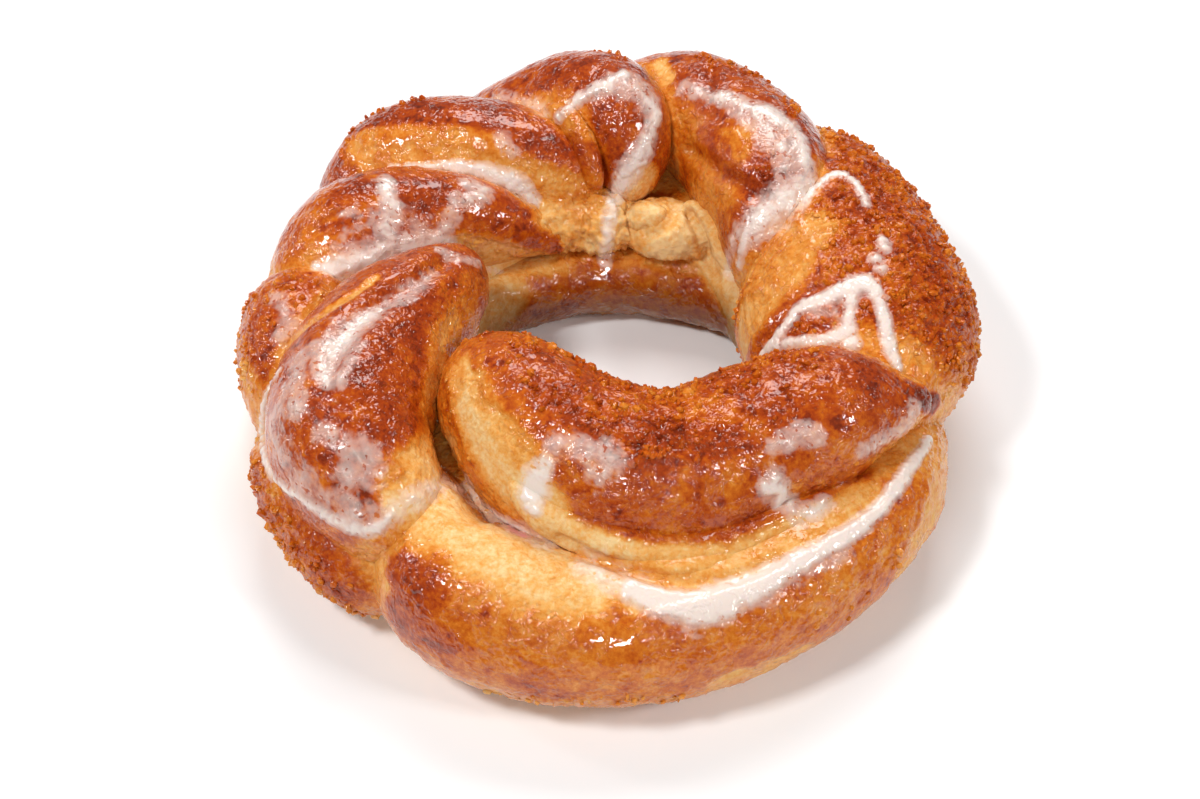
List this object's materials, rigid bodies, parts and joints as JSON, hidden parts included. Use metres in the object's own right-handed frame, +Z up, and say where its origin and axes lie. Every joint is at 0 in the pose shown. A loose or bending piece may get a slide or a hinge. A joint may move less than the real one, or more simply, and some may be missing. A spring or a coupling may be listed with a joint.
{
  "type": "ring coffee cake",
  "caption": "Twisted ring coffee cake of browned dough strands wound round a centre hole, with sugar glaze, white icing and clinging crumbs.",
  "frame": {"origin": "middle of the cake's outline from above, on its flat underside", "axes": "+Z up along the hole, -Y towards the side with the long front strand, +X to the right of it"},
  "size_m": [0.2357, 0.2488, 0.0696],
  "materials": {
    "crust": "browned bread crust under clear sugar glaze",
    "pale_dough": "soft pale dough where the strands part",
    "crumb": "toasted sugar crumb, rough and grainy",
    "icing": "white sugar icing, glossy and a little see-through where thin"
  },
  "bodies": {
    "root": {"coffee_cake": "crust"}
  },
  "joints": []
}
